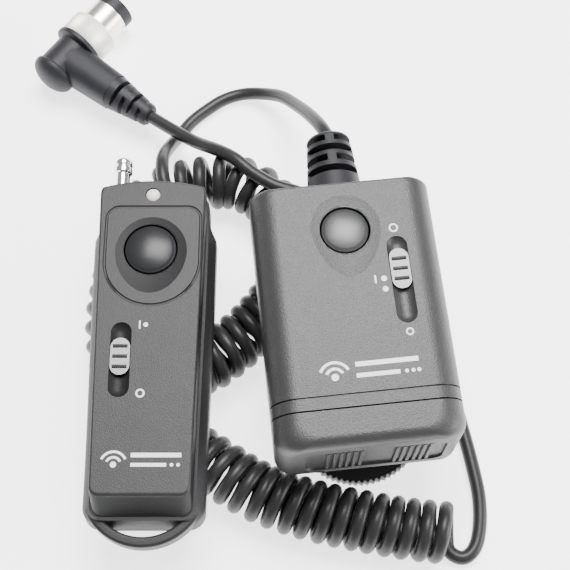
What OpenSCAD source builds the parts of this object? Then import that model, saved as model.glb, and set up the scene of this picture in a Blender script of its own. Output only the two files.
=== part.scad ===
// Wireless remote release set in millimetres: a handheld transmitter, a shoe-mounted
// receiver, a part-coiled cord and a right-angled camera plug with a lock ring.
// Origin at the centre of the footprint on the table, Z up, both faces looking up.

/* [Receiver] */
// Width across the receiver
rx_w = 47; // [44:0.5:52]
// Length of the receiver, cap included
rx_l = 69; // [64:0.5:74]
// Thickness of the receiver
rx_h = 27; // [24:0.5:30]
// Wall thickness of the receiver
rx_wall = 1.8; // [1.4:0.1:2.4]
// Height at which the two receiver shells part
rx_part = 11; // [9:0.5:14]
// Diameter of the receiver button
rx_button_d = 12.1; // [10:0.1:14]
// Diameter of the lock wheel
wheel_d = 36.6; // [30:0.2:40]
// Depth of the gap left round each button
button_gap = 0.3; // [0.2:0.05:0.5]

/* [Transmitter] */
// Length of the transmitter body without its loop
tx_l = 88.9; // [80:0.1:96]
// Thickness of the transmitter
tx_h = 17; // [15:0.5:20]
// Height at which the two transmitter shells part
tx_part = 9.2; // [8:0.1:10]
// Wall thickness of the transmitter
tx_wall = 1.6; // [1.2:0.1:2]
// Diameter of the transmitter button
tx_button_d = 13.4; // [11:0.1:15]
// Outer radius of the lanyard loop
loop_r = 16.1; // [15:0.1:18]

/* [Cord and plug] */
// Diameter of the cord
cord_d = 3.8; // [3:0.1:5]
// Outer diameter of the coiled length
coil_d = 16.4; // [14:0.2:18]
// Diameter of the lock ring on the plug
ring_d = 15.2; // [14:0.2:18]
// Diameter of the metal tube behind the nose
nose_d = 12.2; // [11:0.1:14]

/* [Hidden] */
$fn = 48;
rx_at = [21.3, 0.6, 17];
rx_turn = 6;
tx_at = [-31.2, -7.6, 16.8];
plug_at = [-62, 96, 8.2];
plug_turn = -37;
rx_x = rx_w / 2;
rx_y = rx_l / 2;
cap_y = -25.1;
relief_z = 13.5;
foot_y = -18;
btn_y = 21.1;
knob_x = 12.4;
knob_y = 8.95;
tx_btn_y = 28.3;
tx_knob_x = -6.4;
tx_y = 48.3 - tx_l;
tx_knob_y = -1.3;
ant_x = -10;
ant_z = 5.8;
cell_x = 2;
cell_z = 7.5;
rx_screw = [[18.5, 27], [-18.5, 27], [18.5, -19], [-18.5, -19]];
tx_screw = [[10.6, -22], [-10.6, -22], [9.4, 34]];

// Cord from the receiver to the start of the coil
lead_route = [
  [15.5, 55.7, 30.5], [14, 60, 28.5], [11, 67, 23], [7.5, 74, 16.5], [3, 81, 10],
  [-2.5, 85, 5], [-8.5, 86.5, 2.5], [-14.5, 85, 1.9], [-19.5, 81.5, 1.9], [-24.5, 77, 2],
  [-28, 71.5, 2.9], [-30, 65, 8.5], [-31, 58.5, 15], [-31, 53, 18.6],
  [-30, 47, 18.6], [-27.5, 41.5, 14.5], [-25, 35, 7], [-24.5, 27, 2],
  [-25.5, 16, 1.9], [-27, 6.5, 1.9], [-26.5, 0.5, 1.9], [-20.5, -5, 1.9]];

// Axis of the coiled length
coil_route = [
  [-20.5, -5, 8.2], [-12, 1.5, 8.2], [-4.5, 8.5, 8.2], [2, 17, 8.2], [6, 26, 8.2],
  [6.5, 35, 8.2], [3, 43, 8.2], [-4, 50, 8.2], [-12.5, 53.5, 8.2], [-20.5, 52.5, 8.2],
  [-28.5, 50.5, 8.2], [-35, 46.5, 8.2], [-38.5, 40, 8.2], [-41, 31, 8.2],
  [-42.5, 21.5, 8.2], [-43.5, 11, 8.2], [-42.5, 1.5, 8.2], [-39.5, -7, 8.2], [-32.5, -16.5, 8.2],
  [-23.5, -25, 8.2], [-14.5, -31, 8.2], [-5.5, -36.5, 8.2], [2.5, -40, 8.2], [12.5, -43, 8.2],
  [24.5, -45.5, 8.2], [36.5, -47.5, 8.2], [46.5, -48.5, 8.2]];

// Cord from the end of the coil to the plug
tail_route = [
  [46.5, -48.5, 1.9], [48, -54, 1.9], [51.5, -53.5, 1.9], [54, -49, 1.9],
  [55.5, -41, 1.9], [55, -32, 1.9], [53.5, -24, 1.9], [51.5, -15, 1.9], [49.5, -5, 1.9],
  [47, 6, 1.9], [44, 17, 1.9], [39.5, 27, 1.9], [32.5, 35, 1.9], [24.5, 39.5, 4],
  [16.5, 42.5, 9.5], [9, 45, 17], [1.5, 46.5, 18.6], [-5.5, 51, 18.6], [-10.5, 55.5, 18.6],
  [-16, 59.8, 16], [-22.3, 64.6, 11.5], [-29, 69.6, 9.6], [-36.4, 75.2, 8.2]];

// Frames of the three housings
module rx() { translate(rx_at) rotate([0, 0, rx_turn]) children(); }
module tx() { translate(tx_at) children(); }
module plug() { translate(plug_at) rotate([0, 0, plug_turn]) children(); }
module along_y() { rotate([-90, 0, 0]) children(); }
module along_x() { rotate([0, 90, 0]) children(); }

// A box given by two opposite corners
module box(a, b) { translate(a) cube(b - a); }

// A convex outline with each corner rounded by its own radius
function unit(v) = v / norm(v);
function corner(p, i, r) =
  let (n = len(p), a = unit(p[(i + n - 1) % n] - p[i]), b = unit(p[(i + 1) % n] - p[i]),
       half = acos(a * b) / 2)
  [p[i] + a * r / tan(half), p[i] + b * r / tan(half), p[i] + unit(a + b) * r / sin(half)];
module rounded(p, r) {
  c = [for (i = [0 : len(p) - 1]) corner(p, i, r[i])];
  union() {
    polygon([for (k = c) each [k[0], k[1]]]);
    for (i = [0 : len(p) - 1]) translate(c[i][2]) circle(r[i]);
  }
}

// A solid swept along a route with an octagonal section
function tangent(p, i) = unit(p[min(i + 1, len(p) - 1)] - p[max(i - 1, 0)]);
module tube(p, r) {
  n = 8;
  m = len(p);
  pts = [for (i = [0 : m - 1])
    let (t = tangent(p, i), s = unit(cross(t, [0, 0, 1])), u = cross(s, t))
    for (j = [0 : n - 1]) p[i] + r * (cos(22.5 + 45 * j) * s + sin(22.5 + 45 * j) * u)];
  sides = [for (i = [0 : m - 2]) for (j = [0 : n - 1])
    let (k = (j + 1) % n, a = i * n + j, b = a + n, c = (i + 1) * n + k, d = i * n + k)
    each [[a, d, c], [a, c, b]]];
  ends = [[for (j = [0 : n - 1]) n - 1 - j], [for (j = [0 : n - 1]) (m - 1) * n + j]];
  polyhedron(points = pts, faces = concat(sides, ends));
}

// A wheel outline with straight-cut teeth
module toothed(r, depth, n) {
  polygon([for (i = [0 : 2 * n - 1])
    (i % 2 == 0 ? r : r - depth) * [cos(180 * i / n), sin(180 * i / n)]]);
}

// A trough of round section with ball ends, lying along Y
module trough(x, z, r, y0, y1) {
  union() {
    translate([x, y0, z]) along_y() cylinder(h = y1 - y0, r = r);
    translate([x, y0, z]) sphere(r);
    translate([x, y1, z]) sphere(r);
  }
}

// The three outlines of the receiver, each drawn k millimetres inside the skin
module rx_end(k) {
  rounded([[-rx_x + k, k], [rx_x - k, k], [rx_x - k, rx_h - k], [-rx_x + k, rx_h - k]],
          [max(2.5 - k, 0.6), max(2.5 - k, 0.6), 7 - k, 7 - k]);
}
module rx_plan(k) {
  rounded([[-rx_x + k, -rx_y + k], [rx_x - k, -rx_y + k], [rx_x - k, rx_y - k],
           [-rx_x + k, rx_y - k]], [5 - k, 5 - k, max(1.2 - k, 0.4), max(1.2 - k, 0.4)]);
}
module rx_side(k) {
  rounded([[-rx_y + k, k], [rx_y - k, k], [rx_y - k, rx_h - k], [-rx_y + k, rx_h - k]],
          [max(2 - k, 0.5), max(1 - k, 0.4), max(0.8 - k, 0.4), 3 - k]);
}
module rx_body(k) {
  intersection() {
    translate([0, 40, 0]) rotate([90, 0, 0]) linear_extrude(80) rx_end(k);
    translate([0, 0, -5]) linear_extrude(40) rx_plan(k);
    translate([-30, 0, 0]) rotate([90, 0, 90]) linear_extrude(60) rx_side(k);
  }
}
module rx_groove(y) {
  difference() {
    box([-30, y - 0.25, -1], [30, y + 0.25, 30]);
    rx_body(0.5);
  }
}

module rx_top_shell() {
  color([0.45, 0.45, 0.46]) rx() difference() {
    union() {
      difference() {
        intersection() {
          rx_body(0);
          box([-30, cap_y, rx_part], [30, 40, 30]);
        }
        rx_body(rx_wall);
      }
      box([8.6, -6, 23.9], [16.2, 18.4, 25.4]);
      for (p = rx_screw) translate([p[0], p[1], rx_part]) cylinder(h = 14.4, d = 5);
    }
    for (p = rx_screw) translate([p[0], p[1], rx_part - 1]) cylinder(h = 9, d = 2);
    translate([0, btn_y, 20]) cylinder(h = 10, d = rx_button_d + 2 * button_gap);
    translate([0, 21.3, rx_h + 40]) sphere(41);
    translate([0, 13.6, rx_h + 25.3]) sphere(26);
    trough(knob_x, rx_h + 1.8, 3.2, -2.85, 15.25);
    box([knob_x - 1.1, 3.8, 23], [knob_x + 1.1, 14, 27]);
    rx_groove(-22);
    translate([0, 30, relief_z]) along_y() cylinder(h = 6, d = 9);
  }
}

module rx_bottom_shell() {
  color([0.16, 0.16, 0.17]) rx() difference() {
    union() {
      difference() {
        intersection() {
          rx_body(0);
          box([-30, cap_y, -1], [30, 40, rx_part]);
        }
        rx_body(rx_wall);
      }
      for (p = rx_screw) translate([p[0], p[1], 1.5]) cylinder(h = rx_part - 1.5, d = 6);
      for (x = [-12, 12]) for (y = [2, 28]) translate([x, y, 1.5]) cylinder(h = 13.5, d = 4);
      box([-9, -3.1, 1.5], [9, -1.7, 14]);
      for (y = [-21, -11]) difference() {
        box([-10, y - 0.8, 1.5], [10, y + 0.8, 8]);
        translate([0, -40, 9.6]) along_y() cylinder(h = 50, d = 15.6);
      }
    }
    for (p = rx_screw) {
      translate([p[0], p[1], -1]) cylinder(h = 20, d = 2.4);
      translate([p[0], p[1], -1]) cylinder(h = 3, d = 4.2);
    }
    rx_groove(-22);
    translate([0, 30, relief_z]) along_y() cylinder(h = 6, d = 9);
    translate([0, foot_y, -1]) cylinder(h = 2, d = 8);
  }
}

module rx_battery_cap() {
  color([0.2, 0.2, 0.21]) rx() difference() {
    union() {
      difference() {
        intersection() {
          rx_body(0);
          box([-30, -40, -1], [30, cap_y - 0.3, 30]);
        }
        rx_body(rx_wall);
      }
      box([-12, -33.5, 23.7], [12, cap_y - 0.3, 25.4]);
      box([-12, -33.5, 23.7], [12, cap_y + 3.7, 24.9]);
      for (g = [-10.9, 6.1]) for (i = [0 : 5]) {
        box([g + 1.65 * i, -rx_y + 0.1, 6], [g + 1.65 * i + 0.8, -33.5, 19]);
      }
    }
    difference() {
      box([-15.5, -36, 5], [18.5, -33.9, 20]);
      for (g = [-10.9, 6.1]) for (i = [0 : 5]) {
        box([g + 1.65 * i, -rx_y + 0.1, 6], [g + 1.65 * i + 0.8, -33.5, 19]);
      }
    }
  }
}

module rx_cap_spring() {
  color([0.75, 0.75, 0.72]) rx() translate([0, -32.7, 9.6]) union() {
    box([-5, 0, -5], [5, 0.4, 5]);
    translate([0, 0.8, 0]) along_y() rotate_extrude() translate([4, 0]) circle(0.5);
    translate([0, 1.3, 0]) along_y() rotate_extrude() translate([3.3, 0]) circle(0.5);
  }
}

module dome_button(d, top, rise, base, stem) {
  union() {
    intersection() {
      translate([0, 0, base]) cylinder(h = top - base, d = d);
      translate([0, 0, top - (d * d / 4 + rise * rise) / (2 * rise)])
        sphere((d * d / 4 + rise * rise) / (2 * rise));
    }
    translate([0, 0, base]) cylinder(h = 1, d = d + 2.2);
    translate([0, 0, stem]) cylinder(h = base - stem + 0.2, d = 5);
  }
}

module rx_button() {
  color([0.13, 0.13, 0.14]) rx() translate([0, btn_y, 0])
    dome_button(rx_button_d, 27.3, 0.9, 23.9, 22);
}

module slide_knob(r, rise, half, top, stem_y, stem_z) {
  union() {
    difference() {
      trough(0, rise, r, -half, half);
      box([-6, -12, top], [6, 12, 8]);
    }
    for (y = [-2.7, 0, 2.7]) box([-1.9, y - 0.35, top - 0.3], [1.9, y + 0.35, top + 0.5]);
    box([-0.8, stem_y - 1, stem_z], [0.8, stem_y + 1, 0]);
  }
}

module rx_mode_knob() {
  color([0.14, 0.14, 0.15]) rx() translate([knob_x, knob_y, rx_h])
    slide_knob(2.9, 1.8, 2.98, 0.2, 0.7, -6.2);
}

module rx_mode_switch() {
  color([0.7, 0.7, 0.72]) rx() box([knob_x - 2.2, 3, 16.4], [knob_x + 2.2, 16, 20.4]);
}

module rx_pcb() {
  color([0.1, 0.35, 0.2]) rx() union() {
    box([-15, -1, 15], [15, 30.3, 16.4]);
    box([-12, 4, 16.4], [-5, 11, 17.6]);
    box([-11, 24, 16.4], [-7.5, 29, 19.4]);
  }
}

module rx_tact_switch() {
  color([0.12, 0.12, 0.12]) rx() translate([0, btn_y, 16.4]) union() {
    box([-3, -3, 0], [3, 3, 3.5]);
    cylinder(h = 4.5, d = 3.4);
  }
}

module rx_battery() {
  color([0.75, 0.6, 0.3]) rx() translate([0, 0, 9.6]) union() {
    translate([0, -30.6, 0]) along_y() cylinder(h = 26, d = 15.6);
    translate([0, -4.6, 0]) along_y() cylinder(h = 1, d = 6);
  }
}

module rx_contact() {
  color([0.78, 0.78, 0.74]) rx() box([-6, -3.6, 3.6], [6, -3.1, 14.9]);
}

module rx_strain_relief() {
  color([0.12, 0.12, 0.13]) rx() translate([0, 0, relief_z]) difference() {
    along_y() rotate_extrude() polygon([
      [0, 30.7], [6, 30.7], [6, 32.7], [4.5, 32.7], [4.5, 34.5], [7.6, 34.5], [7.4, 37],
      [5.9, 54], [3.3, 55.4], [0, 55.4]]);
    for (y = [42.5, 49.1]) relief_slot(y, 0);
    for (y = [45.9, 52.2]) relief_slot(y, 1.2);
  }
}

// A slot cut round the relief; the web w is left standing above and below
module relief_slot(y, w) {
  difference() {
    translate([0, y - 1, 0]) along_y() cylinder(h = 2, r = 9);
    translate([0, y - 2, 0]) along_y() cylinder(h = 4, r = 3.4);
    if (w > 0) {
      box([-w, y - 2, -9], [w, y + 2, 9]);
    } else {
      box([-9, y - 2, -1.2], [9, y + 2, 1.2]);
    }
  }
}

module rx_shoe_foot() {
  color([0.1, 0.1, 0.1]) rx() translate([0, foot_y, 0]) union() {
    box([-9.3, -9, -17], [9.3, 9, -15]);
    translate([0, 0, -16]) cylinder(h = 10, d = 8);
    translate([0, 0, -7.4]) cylinder(h = 7.4, d = 12);
    translate([0, 0, -1]) cylinder(h = 2, d = 8);
  }
}

module rx_lock_wheel() {
  color([0.1, 0.1, 0.1]) rx() translate([0, foot_y, -12.7]) difference() {
    union() {
      linear_extrude(5) toothed(wheel_d / 2, 0.5, 60);
      translate([0, 0, -1.5]) cylinder(h = 2, d = 14);
    }
    translate([0, 0, -3]) cylinder(h = 10, d = 8.1);
  }
}

module screw(p, z, head_d, head_h, shank_d, tip) {
  translate([p[0], p[1], z]) difference() {
    union() {
      cylinder(h = head_h, d = head_d);
      cylinder(h = tip - z, d = shank_d);
    }
    box([-head_d, -0.3, -1], [head_d, 0.3, head_h / 2]);
    box([-0.3, -head_d, -1], [0.3, head_d, head_h / 2]);
  }
}

module rx_screws() {
  color([0.6, 0.6, 0.62]) rx() for (p = rx_screw) screw(p, 0.4, 4, 1.6, 2, 18);
}

// Outlines of the transmitter
module tx_front_plan() {
  intersection() {
    rounded([[-12.3, tx_y], [12.3, tx_y], [14.2, 48.5], [-14.2, 48.5]], [2.5, 2.5, 4, 4]);
    translate([0, -1.7]) circle(50);
  }
}
module tx_rear_plan() {
  intersection() {
    union() {
      rounded([[-15.2, tx_y - 1.5], [15.2, tx_y - 1.5], [16.5, 36.6], [14.7, 39.2],
               [-14.7, 39.2], [-16.5, 36.6]], [4, 4, 1.5, 0.5, 0.5, 1.5]);
      rounded([[-14.7, 10], [14.7, 10], [14.7, 48.5], [-14.7, 48.5]], [1, 1, 4, 4]);
    }
    translate([0, -1.7]) circle(50);
  }
}
module tx_cavity() {
  difference() {
    translate([0, 0, tx_wall]) linear_extrude(tx_h - 2 * tx_wall)
      rounded([[-11, -37], [11, -37], [12.4, 46.2], [-12.4, 46.2]], [5, 5, 3, 3]);
    box([-20, -40, 12.9], [20, -34.8, 20]);
  }
}
module tx_shield(k) {
  union() {
    rounded([[-11.9 - k, 25], [12.9 + k, 25], [12.9 + k, 40.4 + k],
             [-11.9 - k, 40.4 + k]], [0.2, 0.2, 3.5 + k, 3.5 + k]);
    translate([0.5, 25]) circle(12.4 + k);
  }
}

module tx_front_shell() {
  color([0.16, 0.16, 0.17]) tx() difference() {
    union() {
      difference() {
        intersection() {
          translate([0, 0, tx_part]) linear_extrude(tx_h - tx_part) tx_front_plan();
          translate([-20, 0, 0]) rotate([90, 0, 90]) linear_extrude(40)
            rounded([[tx_y, 8], [50, 8], [50, 17], [-36.4, 17]], [0.5, 0.5, 0.5, 1]);
        }
        tx_cavity();
      }
      box([-11, -13, 13.9], [-2.8, 8.5, 15.6]);
      for (p = tx_screw) translate([p[0], p[1], tx_part]) cylinder(h = 6.4, d = 3.6);
    }
    for (p = tx_screw) translate([p[0], p[1], 8]) cylinder(h = 6.4, d = 1.8);
    translate([0, 44, 8]) cylinder(h = 12, d = 4);
    translate([0, tx_btn_y, 10]) cylinder(h = 10, d = tx_button_d + 2 * button_gap);
    translate([0.1, 28, tx_h + 43.2]) sphere(44.2);
    translate([0.1, 24.5, tx_h + 35]) sphere(36);
    translate([0, 0, tx_h - 0.5]) linear_extrude(1) difference() {
      tx_shield(0.3);
      tx_shield(-0.3);
    }
    trough(tx_knob_x, tx_h + 1.96, 3.3, -9.3, 5.2);
    box([tx_knob_x - 1.1, -5.9, 13], [tx_knob_x + 1.1, 3.3, 17]);
  }
}

module tx_rear_shell() {
  color([0.13, 0.13, 0.14]) tx() difference() {
    union() {
      difference() {
        tx_rear_body();
        tx_cavity();
      }
      intersection() {
        translate([0, tx_y + 9.4, 2.2]) linear_extrude(5.8) difference() {
          circle(loop_r);
          circle(13.4);
        }
        box([-20, -50, 0], [20, -38, 10]);
      }
      for (p = tx_screw) translate([p[0], p[1], 1]) cylinder(h = tx_part - 1, d = 4);
      for (p = [[9.4, 41], [9, 0], [-9, 0], [-2.5, 44]])
        translate([p[0], p[1], 1]) cylinder(h = 8.6, d = 3.4);
    }
    for (p = tx_screw) {
      translate([p[0], p[1], -1]) cylinder(h = 12, d = 2.2);
      translate([p[0], p[1], -1]) cylinder(h = 3, d = 3.6);
    }
    box([-8.3, -43, -1], [8.3, -5.7, 1.9]);
    box([-8.7, -43, 0.3], [8.7, -7.7, 1.5]);
    translate([ant_x, 6.2, ant_z]) along_y() cylinder(h = 46, d = 4.4);
  }
}
module tx_rear_body() {
  intersection() {
    linear_extrude(tx_part) tx_rear_plan();
    translate([0, 60, 0]) rotate([90, 0, 0]) linear_extrude(120) polygon([
      [-14.5, 0], [14.5, 0], [16.5, 1.5], [16.5, 6], [14.3, 9.2], [-14.3, 9.2],
      [-16.5, 6], [-16.5, 1.5]]);
    translate([-20, 0, 0]) rotate([90, 0, 90]) linear_extrude(40) polygon([
      [tx_y - 0.4, 0], [47.5, 0], [49, 1.5], [49, 9.2], [tx_y - 0.3, 9.2], [tx_y - 1.5, 1.2]]);
  }
}

module tx_battery_door() {
  color([0.15, 0.15, 0.16]) tx() union() {
    intersection() {
      tx_rear_body();
      box([-8, -43, 0], [8, -6, 1.6]);
    }
    box([-8.4, -37, 0.6], [8.4, -8, 1.2]);
  }
}

module tx_button() {
  color([0.1, 0.1, 0.11]) tx() translate([0, tx_btn_y, 0])
    dome_button(tx_button_d, 17.5, 0.9, 14.1, 13.85);
}

module tx_led() {
  color([0.9, 0.88, 0.75]) tx() translate([0, 44, 0]) union() {
    translate([0, 0, 10.8]) cylinder(h = 5, d = 3.8);
    translate([0, 0, 15.7]) sphere(1.9);
    translate([0, 0, 10.8]) cylinder(h = 1, d = 4.1);
  }
}

module tx_power_knob() {
  color([0.12, 0.12, 0.13]) tx() translate([tx_knob_x, tx_knob_y, tx_h])
    slide_knob(3.02, 1.96, 2.4, 0.2, 0, -4.4);
}

module tx_power_switch() {
  color([0.7, 0.7, 0.72]) tx() box([tx_knob_x - 2, -7, 10.8], [tx_knob_x + 2, 4.4, 12.2]);
}

module tx_pcb() {
  color([0.1, 0.35, 0.2]) tx() difference() {
    union() {
      box([-10.8, -6.8, 9.6], [10.8, 45.6, 10.8]);
      box([3, 2, 10.8], [8.5, 8, 12]);
      box([2, 13, 10.8], [9, 16, 12.4]);
    }
    translate([9.4, 34, 8]) cylinder(h = 6, d = 5);
  }
}

module tx_tact_switch() {
  color([0.1, 0.1, 0.1]) tx() translate([0, tx_btn_y, 10.8]) union() {
    box([-3, -3, 0], [3, 3, 1.5]);
    cylinder(h = 1.95, d = 3.2);
  }
}

module tx_battery() {
  color([0.7, 0.7, 0.72]) tx() translate([cell_x, 0, cell_z]) union() {
    translate([0, -36, 0]) along_y() cylinder(h = 27.5, d = 10.3);
    translate([0, -8.5, 0]) along_y() cylinder(h = 1, d = 5.5);
  }
}

module tx_contact_plus() {
  color([0.78, 0.78, 0.74]) tx() box([cell_x - 4, -7.5, 3], [cell_x + 4, -7.1, 12]);
}

module tx_contact_spring() {
  color([0.78, 0.78, 0.74]) tx() translate([cell_x, -37, cell_z]) union() {
    box([-3.5, 0, -3.5], [3.5, 0.4, 3.5]);
    translate([0, 0.6, 0]) along_y() rotate_extrude() translate([2.6, 0]) circle(0.4);
  }
}

module tx_antenna_sleeve() {
  color([0.75, 0.75, 0.76]) tx() translate([ant_x, 6.5, ant_z]) along_y() difference() {
    cylinder(h = 42.5, d = 4.4);
    translate([0, 0, 0.6]) cylinder(h = 50, d = 3.5);
  }
}

module tx_antenna_mid() {
  color([0.78, 0.78, 0.79]) tx() translate([ant_x, 7.5, ant_z]) along_y() difference() {
    cylinder(h = 42.3, d = 3.4);
    translate([0, 0, 0.6]) cylinder(h = 50, d = 2.5);
  }
}

module tx_antenna_inner() {
  color([0.8, 0.8, 0.81]) tx() translate([ant_x, 8.5, ant_z]) along_y()
    cylinder(h = 42, d = 2.4);
}

module tx_antenna_tip() {
  color([0.85, 0.85, 0.86]) tx() translate([ant_x, 50.5, ant_z]) along_y()
    rotate_extrude() polygon([
      [0, 0], [1.95, 0], [1.95, 5.2], [2.55, 5.5], [2.55, 7], [2.1, 7.2], [2.1, 7.6],
      [2.55, 7.8], [2.55, 9], [1.9, 9.6], [0, 9.6]]);
}

module tx_screws() {
  color([0.6, 0.6, 0.62]) tx() for (p = tx_screw) screw(p, 0.5, 3.4, 1.5, 1.8, 14);
}

module plug_boot() {
  color([0.1, 0.1, 0.11]) plug() difference() {
    union() {
      along_y() rotate_extrude() polygon([
        [0, -6.5], [6.1, -6.5], [6.1, 3.1], [7.9, 3.6], [7.9, 5], [0, 5]]);
      translate([0, -1.2, 0]) along_x() cylinder(h = 19, r1 = 7.2, r2 = 5.7);
    }
    translate([0, -12, 0]) along_y() cylinder(h = 5.5, r = 9);
    translate([0, -10, 0]) along_y() cylinder(h = 20, r = 4.2);
    translate([0, 4.95, 0]) along_y() cylinder(h = 5, r = 9);
  }
}

module plug_cap() {
  color([0.1, 0.1, 0.11]) plug() intersection() {
    translate([0, -3.5, 0]) sphere(7.8);
    translate([0, -12, 0]) along_y() cylinder(h = 5.5, r = 6.7);
  }
}

module plug_relief() {
  color([0.1, 0.1, 0.11]) plug() difference() {
    translate([19, -1.2, 0]) along_x() cylinder(h = 14, r1 = 5.25, r2 = 3.2);
    for (i = [0 : 3]) translate([21.4 + 2.9 * i, -1.2, 0]) plug_slot(i);
  }
}
module plug_slot(i) {
  difference() {
    box([0, -7, -7], [1.4, 7, 7]);
    translate([-1, 0, 0]) along_x() cylinder(h = 4, r = 2.4);
    if (i % 2 == 0) {
      box([-1, -0.9, -8], [3, 0.9, 8]);
    } else {
      box([-1, -8, -0.9], [3, 8, 0.9]);
    }
  }
}

module plug_lock_ring() {
  color([0.8, 0.76, 0.66]) plug() translate([0, 5.1, 0]) along_y() difference() {
    union() {
      cylinder(h = 0.6, r = ring_d / 2);
      linear_extrude(7.2) toothed(ring_d / 2 - 0.15, 0.35, 60);
      translate([0, 0, 6.6]) cylinder(h = 0.6, r = ring_d / 2);
    }
    translate([0, 0, -1]) cylinder(h = 12, d = nose_d + 0.1);
  }
}

module plug_shell() {
  color([0.8, 0.8, 0.78]) plug() translate([0, 5, 0]) along_y() difference() {
    cylinder(h = 14, d = nose_d);
    translate([0, 0, -1]) cylinder(h = 16, d = 10);
  }
}

module plug_insulator() {
  color([0.08, 0.08, 0.09]) plug() translate([0, 5, 0]) along_y() difference() {
    union() {
      cylinder(h = 15, d = 9.9);
      translate([0, 0, 14]) cylinder(h = 3.6, d = 11.8);
    }
    translate([0, 0, 14.6]) cylinder(h = 6, d = 9.2);
  }
}

module plug_pins() {
  color([0.85, 0.7, 0.35]) plug() translate([0, 19.6, 0]) along_y() union() {
    for (i = [0 : 6]) rotate([0, 0, 25.7 + 51.43 * i]) translate([3, 0, 0])
      cylinder(h = 2.4, d = 0.8);
    for (i = [0 : 2]) rotate([0, 0, 120 * i]) translate([1.2, 0, 0]) cylinder(h = 2.4, d = 0.8);
  }
}

module cord_lead() { color([0.09, 0.09, 0.1]) tube(lead_route, cord_d / 2); }
module cord_coil() { color([0.09, 0.09, 0.1]) tube(coil_route, coil_d / 2); }
module cord_tail() { color([0.09, 0.09, 0.1]) tube(tail_route, cord_d / 2); }

rx_top_shell();
rx_bottom_shell();
rx_battery_cap();
rx_cap_spring();
rx_button();
rx_mode_knob();
rx_mode_switch();
rx_pcb();
rx_tact_switch();
rx_battery();
rx_contact();
rx_strain_relief();
rx_shoe_foot();
rx_lock_wheel();
rx_screws();
tx_front_shell();
tx_rear_shell();
tx_battery_door();
tx_button();
tx_led();
tx_power_knob();
tx_power_switch();
tx_pcb();
tx_tact_switch();
tx_battery();
tx_contact_plus();
tx_contact_spring();
tx_antenna_sleeve();
tx_antenna_mid();
tx_antenna_inner();
tx_antenna_tip();
tx_screws();
plug_boot();
plug_cap();
plug_relief();
plug_lock_ring();
plug_shell();
plug_insulator();
plug_pins();
cord_lead();
cord_coil();
cord_tail();
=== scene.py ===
import math

import bmesh
import bpy
from mathutils import Matrix, Vector


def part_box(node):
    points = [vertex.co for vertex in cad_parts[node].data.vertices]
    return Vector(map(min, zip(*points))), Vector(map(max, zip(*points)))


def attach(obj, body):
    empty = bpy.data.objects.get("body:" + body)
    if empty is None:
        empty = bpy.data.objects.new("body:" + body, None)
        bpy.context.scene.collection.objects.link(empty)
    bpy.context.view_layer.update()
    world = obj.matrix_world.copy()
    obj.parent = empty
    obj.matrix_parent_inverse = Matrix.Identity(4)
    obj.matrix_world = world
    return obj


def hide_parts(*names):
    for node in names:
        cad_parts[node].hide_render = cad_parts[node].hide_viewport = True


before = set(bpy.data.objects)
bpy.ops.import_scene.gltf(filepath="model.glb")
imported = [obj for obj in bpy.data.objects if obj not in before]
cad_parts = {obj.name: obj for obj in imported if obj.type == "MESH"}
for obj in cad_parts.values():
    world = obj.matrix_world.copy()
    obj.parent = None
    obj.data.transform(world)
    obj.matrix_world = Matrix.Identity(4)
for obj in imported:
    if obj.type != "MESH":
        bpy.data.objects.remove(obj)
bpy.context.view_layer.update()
MM = 0.001

# Camera
cam_data = bpy.data.cameras.new("camera")
cam_data.lens = 72.6
cam_data.sensor_width = 36.0
cam_data.clip_start = 0.01
cam = bpy.data.objects.new("camera", cam_data)
bpy.context.collection.objects.link(cam)
cam.location = (0.0039, -0.1005, 0.3084)
cam.rotation_euler = (math.radians(22.0), 0.0, 0.0)
bpy.context.scene.camera = cam

# Frames of the three housings, in millimetres
lo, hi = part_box("rx_lock_wheel")
wheel = Vector((lo[0] + hi[0], lo[1] + hi[1], 0)) / 2 / MM
rx_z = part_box("rx_bottom_shell")[0][2] / MM
R6 = Matrix.Rotation(math.radians(6), 4, "Z")
RX = Matrix.Translation(wheel + R6 @ Vector((0, 18, 0)) + Vector((0, 0, rx_z))) @ R6
lo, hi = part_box("tx_rear_shell")
TX = Matrix.Translation(Vector(((lo[0] + hi[0]) / 2, lo[1] + 47.3 * MM, lo[2])) / MM)
PL = Matrix.Translation((-62, 96, 8.2)) @ Matrix.Rotation(math.radians(-37), 4, "Z")
ALONG_Y = Matrix.Rotation(math.radians(-90), 4, "X")
ALONG_X = Matrix.Rotation(math.radians(90), 4, "Y")


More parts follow.
